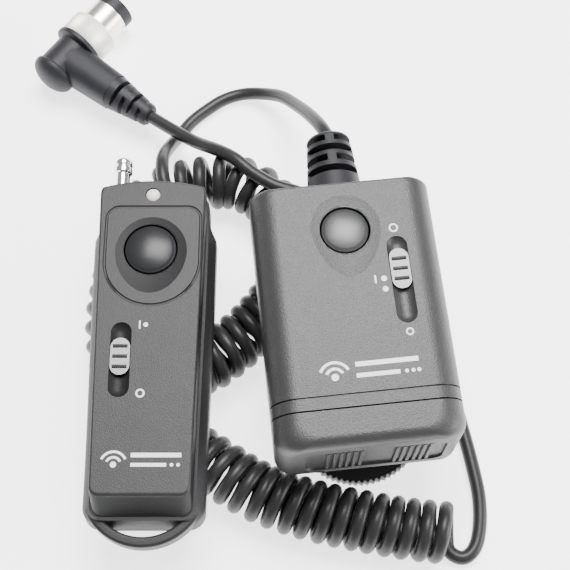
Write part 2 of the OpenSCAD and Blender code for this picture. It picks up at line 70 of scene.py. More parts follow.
# ---------------------------------------------------------------- materials
def material(name, color, rough, metal=0.0, grain=0.0, grain_size=0.25, vary=0.12,
             rough_vary=0.06, coat=0.0, spec=0.5):
    m = bpy.data.materials.new(name)
    m.use_nodes = True
    t = m.node_tree
    n, k = t.nodes, t.links
    sh = n["Principled BSDF"]
    sh.inputs["Metallic"].default_value = metal
    sh.inputs["Specular IOR Level"].default_value = spec
    sh.inputs["Coat Weight"].default_value = coat
    sh.inputs["Coat Roughness"].default_value = 0.15
    co = n.new("ShaderNodeTexCoord")
    broad = n.new("ShaderNodeTexNoise")
    broad.inputs["Scale"].default_value = 160.0
    broad.inputs["Detail"].default_value = 4.0
    k.new(co.outputs["Object"], broad.inputs["Vector"])
    mix = n.new("ShaderNodeMix")
    mix.data_type = "RGBA"
    mix.inputs[6].default_value = (*[c * (1 - vary) for c in color], 1)
    mix.inputs[7].default_value = (*[min(1, c * (1 + vary)) for c in color], 1)
    k.new(broad.outputs["Fac"], mix.inputs[0])
    k.new(mix.outputs[2], sh.inputs["Base Color"])
    fine = n.new("ShaderNodeTexNoise")
    fine.inputs["Scale"].default_value = 1.0 / (grain_size * MM)
    fine.inputs["Detail"].default_value = 3.0
    k.new(co.outputs["Object"], fine.inputs["Vector"])
    rng = n.new("ShaderNodeMapRange")
    rng.inputs["To Min"].default_value = max(0.02, rough - rough_vary)
    rng.inputs["To Max"].default_value = min(1.0, rough + rough_vary)
    k.new(fine.outputs["Fac"], rng.inputs["Value"])
    k.new(rng.outputs["Result"], sh.inputs["Roughness"])
    bump = n.new("ShaderNodeBump")
    bump.inputs["Strength"].default_value = grain
    bump.inputs["Distance"].default_value = 0.0001
    k.new(fine.outputs["Fac"], bump.inputs["Height"])
    k.new(bump.outputs["Normal"], sh.inputs["Normal"])
    return m


M = {
    "housing": material("housing", (0.030, 0.030, 0.031), 0.40, grain=1.0, grain_size=0.35,
                        rough_vary=0.12, spec=0.46),
    "handset": material("handset", (0.026, 0.026, 0.027), 0.42, grain=0.8, grain_size=0.3,
                        rough_vary=0.10, spec=0.27),
    "rear": material("rear", (0.022, 0.022, 0.023), 0.42, grain=0.4, grain_size=0.3, spec=0.18),
    "dome": material("dome", (0.030, 0.030, 0.032), 0.34, grain=0.1, grain_size=0.2, spec=0.6),
    "dome_tx": material("dome_tx", (0.016, 0.016, 0.018), 0.32, grain=0.1, grain_size=0.2,
                        spec=0.3),
    # The next two materials are painted shade: darker, duller copies of the black plastic, for
    # walls and for hollows where less light falls.
    "side": material("side", (0.009, 0.009, 0.010), 0.50, grain=0.5, grain_size=0.35, spec=0.16),
    "hollow_shade": material("hollow_shade", (0.014, 0.014, 0.015), 0.46, grain=0.5, grain_size=0.3,
                       spec=0.14),
    "control": material("control", (0.028, 0.028, 0.030), 0.30, grain=0.12, grain_size=0.15),
    "knob": material("knob", (0.035, 0.035, 0.036), 0.26, grain=0.15, grain_size=0.2, spec=0.9),
    "rubber": material("rubber", (0.020, 0.020, 0.023), 0.48, grain=0.35, grain_size=0.4,
                       spec=0.22),
    "cord": material("cord", (0.022, 0.022, 0.023), 0.38, grain=0.15, grain_size=0.5, spec=0.25),
    "foot": material("foot", (0.015, 0.015, 0.016), 0.42, grain=0.4, grain_size=0.3, spec=0.35),
    "lens": material("lens", (0.86, 0.82, 0.74), 0.25, vary=0.04, coat=0.4),
    "bright": material("bright", (0.90, 0.90, 0.89), 0.14, metal=1.0, grain=0.05, vary=0.03),
    "plated": material("plated", (0.86, 0.82, 0.76), 0.30, metal=1.0, grain=0.1, vary=0.06),
    "ring": material("ring", (0.93, 0.91, 0.84), 0.42, metal=0.35, grain=0.1, vary=0.03),
    "pin": material("pin", (0.80, 0.60, 0.26), 0.25, metal=1.0, vary=0.05),
    "board": material("board", (0.02, 0.13, 0.06), 0.35, vary=0.2),
    "cell": material("cell", (0.50, 0.38, 0.14), 0.35, metal=0.7, vary=0.06),
    "screw": material("screw", (0.35, 0.35, 0.36), 0.35, metal=1.0, vary=0.08),
    "ink": material("ink", (0.90, 0.90, 0.89), 0.55, vary=0.03),
}


# ---------------------------------------------------------------- mesh tools
def build(name, verts, faces, mat, at=Matrix(), body=None):
    me = bpy.data.meshes.new(name)
    me.from_pydata([at @ Vector(v) * MM for v in verts], [], faces)
    me.validate()
    ob = bpy.data.objects.new(name, me)
    bpy.context.collection.objects.link(ob)
    bm = bmesh.new()
    bm.from_mesh(me)
    bmesh.ops.remove_doubles(bm, verts=bm.verts, dist=1e-7)
    bmesh.ops.recalc_face_normals(bm, faces=bm.faces)
    bm.to_mesh(me)
    bm.free()
    me.materials.append(M[mat])
    if body:
        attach(ob, body)
    return ob


def loft(rings, closed=False):
    n = len(rings[0])
    m = len(rings)
    verts = [p for r in rings for p in r]
    faces = []
    for i in range(m if closed else m - 1):
        for j in range(n):
            a, b = i * n + j, i * n + (j + 1) % n
            c, d = ((i + 1) % m) * n + (j + 1) % n, ((i + 1) % m) * n + j
            faces.append((a, b, c, d))
    if not closed:
        faces.append(tuple(reversed(range(n))))
        faces.append(tuple(range((m - 1) * n, m * n)))
    return verts, faces


def lathe(profile, n=64):
    rings = [[(r * math.cos(2 * math.pi * j / n), r * math.sin(2 * math.pi * j / n), z)
              for j in range(n)] for z, r in profile]
    return loft(rings)


def arc_profile(points):
    """Profile points (z, r), each with a rounding radius as third value."""
    out = []
    for i, (z, r, q) in enumerate(points):
        if q <= 0 or i in (0, len(points) - 1):
            out.append((z, r))
            continue
        p = Vector((z, r))
        a = (Vector(points[i - 1][:2]) - p).normalized()
        b = (Vector(points[i + 1][:2]) - p).normalized()
        for t in range(7):
            u = t / 6
            out.append(tuple(p + a * q * (1 - u) ** 2 + b * q * u ** 2))
    return out


def merge(parts):
    verts, faces = [], []
    for v, f in parts:
        k = len(verts)
        verts += [tuple(p) for p in v]
        faces += [tuple(i + k for i in g) for g in f]
    return verts, faces


def moved(part, at):
    return [tuple(at @ Vector(v)) for v in part[0]], part[1]


def cube(a, b):
    rings = [[(a[0], a[1], z), (b[0], a[1], z), (b[0], b[1], z), (a[0], b[1], z)]
             for z in (a[2], b[2])]
    return loft(rings)


def rounded(pts, radii, n=8):
    out = []
    m = len(pts)
    for i in range(m):
        p = Vector(pts[i])
        a = (Vector(pts[i - 1]) - p).normalized()
        b = (Vector(pts[(i + 1) % m]) - p).normalized()
        half = a.angle(b) / 2
        c = p + (a + b).normalized() * radii[i] / math.sin(half)
        s = p + a * radii[i] / math.tan(half) - c
        e = p + b * radii[i] / math.tan(half) - c
        for k in range(n + 1):
            t = k / n
            w = s.angle(e)
            v = (s * math.sin((1 - t) * w) + e * math.sin(t * w)) / math.sin(w)
            out.append((c.x + v.x, c.y + v.y))
    return out


def solve(target, tool, how):
    mod = target.modifiers.new("cut", "BOOLEAN")
    mod.operation = how
    mod.object = tool
    mod.solver = "EXACT"
    bpy.context.view_layer.objects.active = target
    with bpy.context.temp_override(object=target, active_object=target,
                                   selected_objects=[target]):
        bpy.ops.object.modifier_apply(modifier="cut")
    bpy.data.objects.remove(tool, do_unlink=True)


def tool(part, at=Matrix()):
    return build("tool", part[0], part[1], "ink", at)


def soften(ob, width=0.0, angle=32, segments=2):
    if width:
        mod = ob.modifiers.new("edge", "BEVEL")
        mod.width = width * MM
        mod.segments = segments
        mod.limit_method = "ANGLE"
        mod.angle_limit = math.radians(angle)
        mod.use_clamp_overlap = True
        mod.harden_normals = False
        bpy.context.view_layer.objects.active = ob
        with bpy.context.temp_override(object=ob, active_object=ob, selected_objects=[ob]):
            bpy.ops.object.modifier_apply(modifier="edge")
    ob.data.polygons.foreach_set("use_smooth", [True] * len(ob.data.polygons))
    ob.data.set_sharp_from_angle(angle=math.radians(angle))
    if width:
        mod = ob.modifiers.new("normals", "WEIGHTED_NORMAL")
        mod.keep_sharp = True
        mod.weight = 60
    ob.data.update()
    return ob


def spline(pts, per=8, closed=False):
    p = [Vector(q) for q in pts]
    out = []
    m = len(p)
    for i in range(m if closed else m - 1):
        p1, p2 = p[i], p[(i + 1) % m]
        p0 = p[i - 1] if (i or closed) else p1 * 2 - p2
        p3 = p[(i + 2) % m] if (closed or i + 2 < m) else p2 * 2 - p1
        for k in range(per):
            t = k / per
            out.append(0.5 * ((2 * p1) + (p2 - p0) * t + (2 * p0 - 5 * p1 + 4 * p2 - p3) * t * t
                              + (3 * p1 - p0 - 3 * p2 + p3) * t ** 3))
    if not closed:
        out.append(p[-1])
    return out


def sweep(path, section, closed=False):
    """Carry a list of (side, up) offsets along a path with little twist."""
    m = len(path)
    rings = []
    side = None
    for i, p in enumerate(path):
        a = path[i - 1] if (i or closed) else p
        b = path[(i + 1) % m] if (closed or i + 1 < m) else p
        t = (b - a).normalized()
        side = t.cross(Vector((0, 0, 1))) if side is None or closed else side - t * side.dot(t)
        side.normalize()
        up = side.cross(t)
        rings.append([tuple(p + side * u + up * v) for u, v in section])
    return loft(rings, closed)


def circle(r, n):
    return [(r * math.cos(2 * math.pi * j / n), r * math.sin(2 * math.pi * j / n))
            for j in range(n)]


def capsule(r, y0, y1, n=48):
    """A round bar with ball ends along Y, centred on X and Z."""
    prof = []
    for k in range(0, 13):
        a = math.pi / 2 * k / 12
        prof.append((y0 - r * math.cos(a), max(0.01, r * math.sin(a))))
    for k in range(0, 13):
        a = math.pi / 2 * k / 12
        prof.append((y1 + r * math.sin(a), max(0.01, r * math.cos(a))))
    return moved(lathe(prof, n), ALONG_Y)


# ---------------------------------------------------------------- cord
# The routes of part.scad in millimetres, apart from the hook at the start of the tail,
# which is rounder here.
LEAD = [
    (15.5, 55.7, 30.5), (14, 60, 28.5), (11, 67, 23), (7.5, 74, 16.5), (3, 81, 10),
    (-2.5, 85, 5), (-8.5, 86.5, 2.5), (-14.5, 85, 1.9), (-19.5, 81.5, 1.9), (-24.5, 77, 2),
    (-28, 71.5, 2.9), (-30, 65, 8.5), (-31, 58.5, 15), (-31, 53, 18.6), (-30, 47, 18.6),
    (-27.5, 41.5, 14.5), (-25, 35, 7), (-24.5, 27, 2), (-25.5, 16, 1.9), (-27, 6.5, 1.9),
    (-26.5, 0.5, 1.9), (-20.5, -5, 1.9)]
COIL = [
    (-20.5, -5, 8.2), (-12, 1.5, 8.2), (-4.5, 8.5, 8.2), (2, 17, 8.2), (6, 26, 8.2),
    (6.5, 35, 8.2), (3, 43, 8.2), (-4, 50, 8.2), (-12.5, 53.5, 8.2), (-20.5, 52.5, 8.2),
    (-28.5, 50.5, 8.2), (-35, 46.5, 8.2), (-38.5, 40, 8.2), (-41, 31, 8.2),
    (-42.5, 21.5, 8.2), (-43.5, 11, 8.2), (-42.5, 1.5, 8.2), (-39.5, -7, 8.2),
    (-32.5, -16.5, 8.2), (-23.5, -25, 8.2), (-14.5, -31, 8.2), (-5.5, -36.5, 8.2),
    (2.5, -40, 8.2), (12.5, -43, 8.2), (24.5, -45.5, 8.2), (36.5, -47.5, 8.2),
    (46.5, -48.5, 8.2)]
TAIL = [
    (46.5, -48.5, 1.9), (47, -52.2, 1.9), (50.6, -54, 1.9), (54, -51.2, 1.9),
    (55.6, -45, 1.9), (55.8, -38, 1.9), (55, -32, 1.9), (53.5, -24, 1.9),
    (51.5, -15, 1.9), (49.5, -5, 1.9),
    (47, 6, 1.9), (44, 17, 1.9), (39.5, 27, 1.9), (32.5, 35, 1.9), (24.5, 39.5, 4),
    (16.5, 42.5, 9.5), (9, 45, 17), (1.5, 46.5, 18.6), (-5.5, 51, 18.6), (-10.5, 55.5, 18.6),
    (-16, 59.8, 16), (-22.3, 64.6, 11.5), (-29, 69.6, 9.6), (-36.4, 75.2, 8.2)]
PITCH = [(0, 4.3), (45, 4.4), (70, 5.6), (100, 5.6), (125, 4.9), (175, 4.8), (200, 4.3),
         (270, 4.3)]
COIL_R = 6.3          # radius of the coil's centre line
CORD_R = 1.9          # radius of the cord, and its height when it lies on the floor
SMOOTHING = 6         # passes that round the joins between lead, coil and tail


def pitch_at(s):
    for (a, p), (b, q) in zip(PITCH[:-1], PITCH[1:]):
        if s <= b:
            return p + (q - p) * (s - a) / (b - a)
    return PITCH[-1][1]


axis = spline(COIL, 12)
arc = [0.0]
for a, b in zip(axis[:-1], axis[1:]):
    arc.append(arc[-1] + (b - a).length)
turn = [0.0]
for a, b in zip(arc[:-1], arc[1:]):
    turn.append(turn[-1] + (b - a) / pitch_at((a + b) / 2))
turns = round(turn[-1])
turn = [t * turns / turn[-1] for t in turn]
PER = 22
helix = []
j = 0
for i in range(turns * PER + 1):
    th = i / PER
    while j < len(turn) - 2 and turn[j + 1] < th:
        j += 1
    u = min(1.0, max(0.0, (th - turn[j]) / (turn[j + 1] - turn[j])))
    c = axis[j].lerp(axis[j + 1], u)
    t0 = axis[min(j + 1, len(axis) - 1)] - axis[max(j - 1, 0)]
    t1 = axis[min(j + 2, len(axis) - 1)] - axis[j]
    t = t0.normalized().lerp(t1.normalized(), u).normalized()
    right = t.cross(Vector((0, 0, 1))).normalized()
    w = 2 * math.pi * th
    wob = 0.10 * math.sin(3.1 * th) + 0.06 * math.sin(7.7 * th + 1)
    helix.append(c + right * (math.sin(w) * COIL_R) - Vector((0, 0, math.cos(w) * COIL_R))
                 + t * wob)
inside = [Vector(LEAD[0]) + Vector((0.1045, -0.9945, 0)) * k for k in (6.0, 3.0)]
plug_in = [Vector(TAIL[-1]) + (PL.to_3x3() @ Vector((-1, 0, 0))) * k for k in (3.0, 8.0)]
lead = spline([tuple(p) for p in inside] + LEAD, 8)
tail = spline(TAIL + [tuple(p) for p in plug_in], 8)
route = lead[:-1] + helix + tail[1:]
first, last = len(lead) + 8, len(lead) + len(helix) - 8
for _ in range(SMOOTHING):
    keep = list(route)
    for i in range(3, len(route) - 3):
        if i < first or i > last:
            keep[i] = route[i - 1] * 0.25 + route[i] * 0.5 + route[i + 1] * 0.25
            keep[i].z = max(keep[i].z, CORD_R)
    route = keep
cord = build("cord_run", *sweep(route, circle(CORD_R, 12)), "cord", body="receiver")
soften(cord)
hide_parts("cord_lead", "cord_coil", "cord_tail")


# ---------------------------------------------------------------- receiver
def quarter(z, z0, r):
    """Inset of a rounded edge of radius r that starts at height z0."""
    u = min(1.0, max(0.0, (z - z0) / r))
    return r * (1 - math.sqrt(1 - u * u))


def rx_levels():
    a = [2.5 * (1 - math.cos(math.pi / 2 * k / 6)) for k in range(7)]
    b = [20 + 7 * math.sin(math.pi / 2 * k / 16) for k in range(17)]
    return a + [6, 11, 16] + b


def rx_body(k=0.0):
    rings = []
    for z in rx_levels():
        side = quarter(2.5 - z, 0, 2.5) if z < 2.5 else quarter(z, 20, 7)
        bat = quarter(2 - z, 0, 2) if z < 2 else quarter(z, 24, 3)
        cab = quarter(1 - z, 0, 1) if z < 1 else quarter(z, 26.3, 0.7)
        w, y0, y1 = 23.5 - side - k, -34.5 + bat + k, 34.5 - cab - k
        zz = k + z * (27 - 2 * k) / 27
        rings.append([(x, y, zz) for x, y in rounded(
            [(-w, y0), (w, y0), (w, y1), (-w, y1)],
            [max(1, 4.8 - k), max(1, 4.8 - k), max(0.5, 1.3 - k), max(0.5, 1.3 - k)], 8)])
    return loft(rings)


def egg(cx, cy, rx_, up, down, depth, top, taper=0.16):
    """Cutter whose lower face is a shallow egg-shaped dish."""
    rings = []
    for i in range(15):
        q = 1.16 * i / 14 + 0.004
        ring = []
        for j in range(72):
            a = 2 * math.pi * j / 72
            s, c = math.sin(a), math.cos(a)
            w = rx_ * (1 - (taper * (-c) ** 1.3 if c < 0 else 0))
            ring.append((cx + w * s * q, cy + (up if c > 0 else down) * c * q,
                         top - depth * (1 - q * q)))
        rings.append(ring)
    rings.append([(x, y, top + 2) for x, y, _ in rings[-1]])
    return loft(rings)


shell = tool(rx_body(), RX)
solve(shell, tool(rx_body(1.8), RX), "DIFFERENCE")
half = shell.copy()
half.data = shell.data.copy()
bpy.context.collection.objects.link(half)
cap = shell.copy()
cap.data = shell.data.copy()
bpy.context.collection.objects.link(cap)

top = shell
top.name = "rx_housing_top"
solve(top, tool(cube((-30, -25.1, 11.08), (30, 40, 30)), RX), "INTERSECT")
for part in (
    egg(0.2, 21.3, 8.9, 9.4, 13.3, 0.95, 27.0),
    lathe([(22, 6.45), (31, 6.45)], 64),
):
    at = RX @ Matrix.Translation((0, 21.1, 0)) if len(part[0]) == 128 else RX
    solve(top, tool(part, at), "DIFFERENCE")
solve(top, tool(capsule(3.2, -2.85, 15.25), RX @ Matrix.Translation((12.4, 0, 28.8))),
      "DIFFERENCE")


def band(y, depth=0.45):
    a = tool(cube((-30, y - 0.2, -2), (30, y + 0.2, 30)), RX)
    solve(a, tool(rx_body(depth), RX), "DIFFERENCE")
    return a


solve(top, band(-22), "DIFFERENCE")
hole = moved(lathe([(30, 4.5), (40, 4.5)], 40), Matrix.Translation((0, 0, 13.5)) @ ALONG_Y)
solve(top, tool(hole, RX), "DIFFERENCE")

half.name = "rx_housing_base"
solve(half, tool(cube((-30, -25.1, -1), (30, 40, 10.92)), RX), "INTERSECT")
solve(half, band(-22), "DIFFERENCE")
solve(half, tool(hole, RX), "DIFFERENCE")

cap.name = "rx_cap"
solve(cap, tool(cube((-30, -40, -1), (30, -25.4, 30)), RX), "INTERSECT")
panel = [[(x, y, z) for x, z in rounded([(-16, 4.5), (18.5, 4.5), (18.5, 20.5), (-16, 20.5)],
                                        [2.5] * 4, 6)] for y in (-33.9, -38)]
solve(cap, tool(loft(panel), RX), "DIFFERENCE")
ribs = []
for g in (-10.9, 6.1):
    for i in range(6):
        x = g + 0.4 + 1.65 * i
        rib = [[(x + 0.5 * math.cos(a), y, z) for a, y in
                ((math.pi, -33.7), (math.pi, -34.2), (math.pi * 0.75, -34.45),
                 (math.pi / 2, -34.5), (math.pi / 4, -34.45), (0, -34.2), (0, -33.7))]
               for z in (5.2, 19.8)]
        ribs.append(loft(rib))
rib_piece = build("rx_cap_ribs", *merge(ribs), "housing", RX, "receiver_cap")
soften(rib_piece)
tongue = build("rx_cap_tongue", *cube((-12, -33, 23.7), (12, -21.4, 24.9)), "housing", RX,
               "receiver_cap")
soften(tongue, 0.2)
for ob, node, body in ((top, "rx_top_shell", "receiver"), (half, "rx_bottom_shell", "receiver"),
                       (cap, "rx_battery_cap", "receiver_cap")):
    ob.data.materials.clear()
    ob.data.materials.append(M["housing"])
    soften(ob, 0.18)
    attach(ob, body)
    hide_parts(node)


def dome(d, edge, rise, low):
    r = d / 2
    big = (r * r + rise * rise) / (2 * rise)
    prof = [(low, 0.01), (low, r + 0.0), (edge - 0.35, r)]
    for k in range(1, 6):
        a = math.pi / 2 * k / 5
        prof.append((edge - 0.35 + 0.35 * math.sin(a), r - 0.35 * (1 - math.cos(a))))
    for k in range(1, 17):
        q = (r - 0.35) * (1 - k / 16) + 0.004
        prof.append((edge + rise - big + math.sqrt(big * big - q * q), q))
    return lathe(prof, 72)


b = build("rx_button_dome", *dome(12.1, 26.3, 1.0, 24.3), "dome",
          RX @ Matrix.Translation((0, 21.1, 0)), "receiver_button")
soften(b, angle=50)
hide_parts("rx_button")


def knob(name, r, rise, half_len, at, body, node):
    ob = tool(moved(capsule(r, -half_len, half_len, 40), Matrix.Translation((0, 0, rise))), at)
    solve(ob, tool(cube((-6, -14, 0.25), (6, 14, 9)), at), "DIFFERENCE")
    for y in (-2.7, 0.0, 2.7):
        rid = [[(x, y + v, w) for v, w in ((-0.55, 0.1), (-0.35, 0.6), (0, 0.75), (0.35, 0.6),
                                           (0.55, 0.1))] for x in (-1.85, 1.85)]
        solve(ob, tool(loft(rid), at), "UNION")
    ob.name = name
    ob.data.materials.clear()
    ob.data.materials.append(M["knob"])
    soften(ob, 0.12)
    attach(ob, body)
    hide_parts(node)
    return ob


knob("rx_slider", 2.9, 1.8, 2.98, RX @ Matrix.Translation((12.4, 8.95, 27)), "mode_knob",
     "rx_mode_knob")


def strain(name, prof, slots, at, mat, body, core, wide):
    ob = tool(lathe(prof, 72), at)
    for z, wid, mode in slots:
        cut = tool(lathe([(z - wid / 2, wide), (z + wid / 2, wide)], 64), at)
        solve(cut, tool(lathe([(z - wid, core), (z + wid, core)], 64), at), "DIFFERENCE")
        if mode == "web":
            gap = cube((-1.2, -wide - 2, z - wid), (1.2, wide + 2, z + wid))
        else:
            gap = cube((-wide - 2, -1.2, z - wid), (wide + 2, 1.2, z + wid))
        solve(cut, tool(gap, at), "DIFFERENCE")
        solve(ob, cut, "DIFFERENCE")
    ob.name = name
    ob.data.materials.clear()
    ob.data.materials.append(M[mat])
    soften(ob, 0.15)
    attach(ob, body)
    return ob


rel = strain("rx_relief", arc_profile([
    (32, 0.01, 0), (32, 4.5, 0), (34.5, 4.5, 0), (34.5, 7.6, 0.4), (36.8, 7.5, 1.0),
    (53.9, 5.9, 0.6), (55.4, 3.3, 0.4), (55.4, 0.01, 0)]),
    [(42.5, 2.0, "full"), (45.9, 2.0, "web"), (49.1, 2.0, "full"), (52.2, 1.8, "web")],
    RX @ Matrix.Translation((0, 0, 13.5)) @ ALONG_Y, "rubber", "receiver", 3.4, 9)
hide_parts("rx_strain_relief")


def knurl(r, depth, n, z0, z1, chamfer=0.5, bore=None):
    rings = []
    m = n * 4
    for z, k in ((z0, chamfer), (z0 + chamfer, 0), (z1 - chamfer, 0), (z1, chamfer)):
        ring = []
        for j in range(m):
            a = 2 * math.pi * j / m
            rr = r - k - depth * (0.5 + 0.5 * math.cos(n * a)) * (1 if k == 0 else 0.3)
            ring.append((rr * math.cos(a), rr * math.sin(a), z))
        rings.append(ring)
    if bore:
        for z in (z1, z0):
            rings.append([(bore * math.cos(2 * math.pi * j / m),
                           bore * math.sin(2 * math.pi * j / m), z) for j in range(m)])
        return loft(rings, closed=True)
    return loft(rings)


whl = build("rx_wheel", *knurl(18.3, 0.55, 72, -12.7, -7.7, 0.5, 4.05), "foot",
            RX @ Matrix.Translation((0, -18, 0)), "lock_wheel")
soften(whl, angle=40)
hub = build("rx_wheel_hub", *knurl(7, 0.0, 16, -14.2, -12.6, 0.2, 4.05), "foot",
            RX @ Matrix.Translation((0, -18, 0)), "lock_wheel")
soften(hub, angle=40)
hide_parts("rx_lock_wheel")


# ---------------------------------------------------------------- printed marks
def decal(name, shapes, at, z, body):
    parts = []
    for s in shapes:
        outer, inner = s
        if inner:
            n = len(outer)
            v = [(x, y, z) for x, y in outer + inner] + [(x, y, z - 0.05) for x, y in outer + inner]
            f = []
            for j in range(n):
                k = (j + 1) % n
                f += [(j, k, n + k, n + j), (2 * n + j, 3 * n + j, 3 * n + k, 2 * n + k),
                      (j, 2 * n + j, 2 * n + k, k), (n + j, n + k, 3 * n + k, 3 * n + j)]
            parts.append((v, f))
        else:
            parts.append(loft([[(x, y, z - 0.05) for x, y in outer],
                               [(x, y, z) for x, y in outer]]))
    return build(name, *merge(parts), "ink", at, body)


def dot(x, y, r, n=24):
    return ([(x + u, y + v) for u, v in circle(r, n)], None)


def ring(x, y, r, w, n=32):
    return ([(x + u, y + v) for u, v in circle(r, n)],
            [(x + u, y + v) for u, v in circle(r - w, n)])


def bar(x0, y0, x1, y1):
    return ([(x0, y0), (x1, y0), (x1, y1), (x0, y1)], None)


def fan(x, y, r, w, a0, a1, n=16):
    a = [math.radians(a0 + (a1 - a0) * k / n) for k in range(n + 1)]
    return ([(x + r * math.cos(t), y + r * math.sin(t)) for t in a]
            + [(x + (r - w) * math.cos(t), y + (r - w) * math.sin(t)) for t in reversed(a)], None)


decal("rx_marks", [
    ring(12.2, 20.2, 1.2, 0.42), bar(5.6, 5.6, 6.05, 7.8), dot(8.0, 6.7, 0.75),
    dot(8.0, 3.9, 0.75), ring(12.4, -7.8, 1.0, 0.4)], RX, 27.04, "receiver")
decal("rx_graphic", [
    dot(-7.2, -17.6, 0.9), fan(-7.2, -17.6, 2.5, 0.7, 25, 155), fan(-7.2, -17.6, 4.1, 0.7, 25, 155),
    bar(-2.0, -15.4, 13.4, -14.2), bar(-2.0, -18.2, 8.6, -17.1), dot(10.2, -17.65, 0.5),
    dot(11.8, -17.65, 0.5), dot(13.2, -17.65, 0.5)], RX, 27.04, "receiver")


# ---------------------------------------------------------------- transmitter
def arc_end(x, y, flat=48.3, r=50.0):
    """Pull a point back behind the bowed upper end."""
    return min(y, flat - r + math.sqrt(r * r - x * x))


def front_ring(z):
    e = quarter(z, 16.3, 0.7)
    y0 = -40.05 + (z - 9.2) / 7.8 * 3.7 + e
    w0, w1 = 12.35 - e, 14.15 - e
    out = []
    for x, y in rounded([(-w0, y0), (w0, y0), (w1, 48.5), (-w1, 48.5)],
                        [2.5 - e, 2.5 - e, 4.0, 4.0], 10):
        out.append((x, y, z))
    cut = []
    for i, (x, y, _) in enumerate(out):
        nx, ny, _ = out[(i + 1) % len(out)]
        cut.append((x, y))
        if y > 48.4 - 0.2 and ny > 48.4 - 0.2 and abs(nx - x) > 4:
            for k in range(1, 24):
                cut.append((x + (nx - x) * k / 24, y))
    return [(x, arc_end(x, y) - (e if y > 44 else 0), z) for x, y in cut]


def tx_front():
    zs = [9.3, 9.5, 12, 15] + [16.3 + 0.7 * math.sin(math.pi / 2 * k / 6) for k in range(7)]
    return loft([front_ring(z) for z in zs])


def step(u):
    u = min(1.0, max(0.0, u))
    return u * u * (3 - 2 * u)


def rear_ring(z):
    if z < 1.5:
        ins = 1.8 * (1 - z / 1.5) ** 1.4
    elif z < 6:
        ins = 0.0
    else:
        ins = 2.1 * ((z - 6) / 3.2) ** 1.3
    q = 4.2
    y0 = -42.1 + 1.15 * max(0.0, (z - 1.2) / 8) + (0.9 * (1 - z / 1.2) if z < 1.2 else 0)
    right = []
    for k in range(9):
        a = -math.pi / 2 + math.pi / 2 * k / 8
        right.append((15.3 - q - ins + q * math.cos(a), y0 + q + q * math.sin(a)))
    for k in range(1, 28):
        y = y0 + q + (44.3 - y0 - q) * k / 27
        w = 15.3 + (16.5 - 15.3) * step((y + 38) / 74) - ins
        edge = 14.7 - (0.5 if z < 1 or z > 8.5 else 0.15)
        right.append((w + (edge - w) * step((y - 36.4) / 3.0), y))
    e = right[-1][0]
    for k in range(1, 9):
        a = math.pi / 2 * k / 8
        right.append((e - 4 * (1 - math.cos(a)), 44.3 + 4 * math.sin(a)))
    for k in range(1, 12):
        right.append(((e - 4) * (1 - k / 12), 48.3))
    left = [(-x, y) for x, y in reversed(right)]
    back_in = 0.8 * (1 - z / 1.5) if z < 1.5 else 0.0
    return [(x, arc_end(x, y) - (back_in if y > 44 else 0), z) for x, y in right + left]


def tx_rear():
    zs = [0, 0.3, 0.7, 1.1, 1.5, 3, 4.5, 6, 6.6, 7.2, 7.8, 8.4, 9.12]
    return loft([rear_ring(z) for z in zs])


inner = loft([[(x, y, z) for x, y in rounded([(-11, -37), (11, -37), (12.4, 46.2), (-12.4, 46.2)],
                                             [5, 5, 3, 3], 6)] for z in (1.6, 12.9)])
upper = loft([[(x, y, z) for x, y in rounded([(-11, -34.8), (11, -34.8), (12.4, 46.2),
                                              (-12.4, 46.2)], [3] * 4, 6)] for z in (12, 15.4)])
face = tool(tx_front(), TX)
solve(face, tool(inner, TX), "DIFFERENCE")
solve(face, tool(upper, TX), "DIFFERENCE")
solve(face, tool(egg(0.15, 27.6, 9.4, 9.8, 11.7, 0.95, 17.0, 0.06), TX), "DIFFERENCE")
solve(face, tool(lathe([(10, 7.05), (20, 7.05)], 64), TX @ Matrix.Translation((0, 28.3, 0))),
      "DIFFERENCE")
solve(face, tool(lathe([(10, 2.0), (20, 2.0)], 40), TX @ Matrix.Translation((0, 44, 0))),
      "DIFFERENCE")
path = [Vector((x, y, 17.05)) for x, y in rounded(
    [(-11.9, 25), (12.9, 25), (12.9, 40.4), (-11.9, 40.4)], [0.01, 0.01, 3.5, 3.5], 10)[22:]]
path += [Vector((0.5 + 12.4 * math.cos(a), 25 + 12.4 * math.sin(a), 17.05)) for a in
         [math.pi + math.pi * k / 40 for k in range(0, 41)]]
keep = []
for p in path:
    if not keep or (p - keep[-1]).length > 0.15:
        keep.append(p)
solve(face, tool(sweep(keep, circle(0.42, 10), closed=True), TX), "DIFFERENCE")
solve(face, tool(capsule(3.3, -9.3, 5.2), TX @ Matrix.Translation((-6.4, 0, 18.96))),
      "DIFFERENCE")
face.name = "tx_face"

back = tool(tx_rear(), TX)
solve(back, tool(inner, TX), "DIFFERENCE")
loop_path = [Vector((14.75 * math.cos(a), -31.2 + 14.75 * math.sin(a), 5.1)) for a in
             [math.radians(206 + 128 * k / 48) for k in range(49)]]
sec = rounded([(-1.35, -2.9), (1.35, -2.9), (1.35, 2.9), (-1.35, 2.9)], [0.8] * 4, 5)
solve(back, tool(sweep(loop_path, sec), TX), "UNION")
solve(back, tool(cube((-8.3, -43, -1), (8.3, -5.7, 1.9)), TX), "DIFFERENCE")
solve(back, tool(cube((-8.7, -43, 0.3), (8.7, -7.7, 1.5)), TX), "DIFFERENCE")
solve(back, tool(lathe([(40, 2.2), (60, 2.2)], 32), TX @ Matrix.Translation((-10, 0, 5.8))
                 @ ALONG_Y), "DIFFERENCE")
back.name = "tx_back"
for ob, node in ((face, "tx_front_shell"), (back, "tx_rear_shell")):
    ob.data.materials.clear()
    ob.data.materials.append(M["handset" if ob is face else "rear"])
    soften(ob, 0.15)
    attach(ob, "transmitter")
    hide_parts(node)

